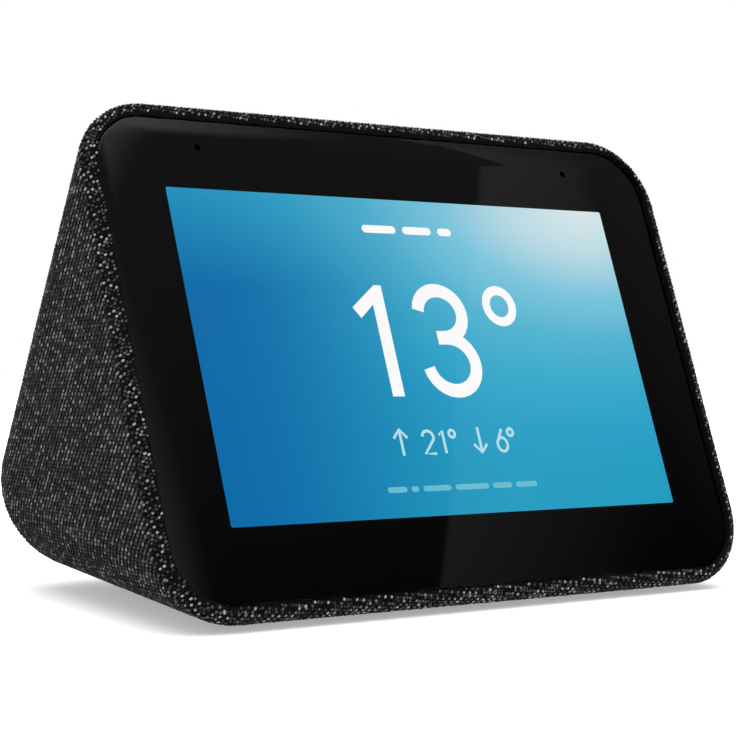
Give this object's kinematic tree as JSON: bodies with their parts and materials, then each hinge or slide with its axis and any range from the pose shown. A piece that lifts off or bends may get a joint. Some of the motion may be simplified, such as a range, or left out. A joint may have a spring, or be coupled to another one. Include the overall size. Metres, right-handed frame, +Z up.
{
  "type": "bedside smart speaker",
  "caption": "Fabric-covered wedge speaker with a leaning glass display, rear ports, pressing volume buttons, a mute slider and a sloping-back driver.",
  "frame": {"origin": "under the middle of the outside box, on the surface it stands on", "axes": "+X to the user's right as they face the display, +Y to the rear, +Z up; the display faces -Y and leans back"},
  "size_m": [0.113, 0.0793, 0.0754],
  "materials": {
    "fabric": "knitted black melange polyester, matte",
    "cover_glass": "black-printed polished cover glass",
    "shell_plastic": "moulded black, fine texture",
    "tape": "black foam tape",
    "lcd_glass": "lit liquid crystal panel",
    "sheet_steel": "tinned sheet steel",
    "circuit_board": "green solder mask",
    "thermal_pad": "soft silicone pad",
    "aluminium": "plain rolled sheet",
    "ribbon": "amber flexible circuit",
    "chip_plastic": "black moulding",
    "seal_rubber": "soft black rubber",
    "magnet": "coated ferrite and plated steel",
    "cone_paper": "coated black paper",
    "screw_steel": "black zinc steel",
    "button_rubber": "satin black rubber",
    "port_plastic": "moulded black, fine texture",
    "foot_rubber": "matte silicone rubber"
  },
  "bodies": {
    "cabinet": {"fabric_cover": "fabric", "cover_glass": "cover_glass", "front_frame": "shell_plastic", "rear_shell": "shell_plastic", "glass_tape": "tape", "lcd_panel": "lcd_glass", "lcd_backlight": "sheet_steel", "display_bracket": "sheet_steel", "main_board": "circuit_board", "processor_shield": "sheet_steel", "radio_shield": "sheet_steel", "thermal_pad": "thermal_pad", "heat_spreader": "aluminium", "display_ribbon": "ribbon", "microphone_board": "circuit_board", "microphone_left": "sheet_steel", "microphone_right": "sheet_steel", "microphone_seal_left": "seal_rubber", "microphone_seal_right": "seal_rubber", "light_sensor": "chip_plastic", "antenna_left": "circuit_board", "antenna_right": "circuit_board", "speaker_box": "shell_plastic", "speaker_baffle": "shell_plastic", "driver_basket": "sheet_steel", "driver_magnet": "magnet", "driver_surround": "seal_rubber", "left_radiator_surround": "seal_rubber", "right_radiator_surround": "seal_rubber", "volume_down_switch": "sheet_steel", "volume_up_switch": "sheet_steel", "mute_switch": "sheet_steel", "button_board": "circuit_board", "port_panel": "port_plastic", "usb_socket": "sheet_steel", "power_socket": "chip_plastic", "port_board": "circuit_board", "base_plate": "port_plastic", "rubber_foot": "foot_rubber", "board_screw_1": "screw_steel", "driver_screw_1": "screw_steel", "base_screw_1": "screw_steel", "board_screw_2": "screw_steel", "driver_screw_2": "screw_steel", "base_screw_2": "screw_steel", "board_screw_3": "screw_steel", "driver_screw_3": "screw_steel", "base_screw_3": "screw_steel", "board_screw_4": "screw_steel", "driver_screw_4": "screw_steel", "base_screw_4": "screw_steel"},
    "speaker_cone": {"driver_cone": "cone_paper", "driver_dust_cap": "cone_paper"},
    "left_radiator": {"left_radiator_plate": "cone_paper"},
    "right_radiator": {"right_radiator_plate": "cone_paper"},
    "volume_down": {"volume_down_button": "button_rubber"},
    "volume_up": {"volume_up_button": "button_rubber"},
    "mute": {"mute_slider": "button_rubber"}
  },
  "joints": [
    {"name": "volume_down_press", "type": "slide", "parent": "cabinet", "child": "volume_down", "axis": [0, -0.7105, -0.7037], "range_m": [0, 0.0007], "stiffness_N_per_m": 900},
    {"name": "volume_up_press", "type": "slide", "parent": "cabinet", "child": "volume_up", "axis": [0, -0.7105, -0.7037], "range_m": [0, 0.0007], "stiffness_N_per_m": 900},
    {"name": "mute_slide", "type": "slide", "parent": "cabinet", "child": "mute", "axis": [1, 0, 0], "range_m": [0, 0.0025]},
    {"name": "speaker_cone_travel", "type": "slide", "parent": "cabinet", "child": "speaker_cone", "axis": [0, 0.7105, 0.7037], "range_m": [-0.001, 0.001], "stiffness_N_per_m": 1500},
    {"name": "left_radiator_travel", "type": "slide", "parent": "cabinet", "child": "left_radiator", "axis": [-1, 0, 0], "range_m": [-0.001, 0.001], "stiffness_N_per_m": 900},
    {"name": "right_radiator_travel", "type": "slide", "parent": "cabinet", "child": "right_radiator", "axis": [1, 0, 0], "range_m": [-0.001, 0.001], "stiffness_N_per_m": 900}
  ]
}
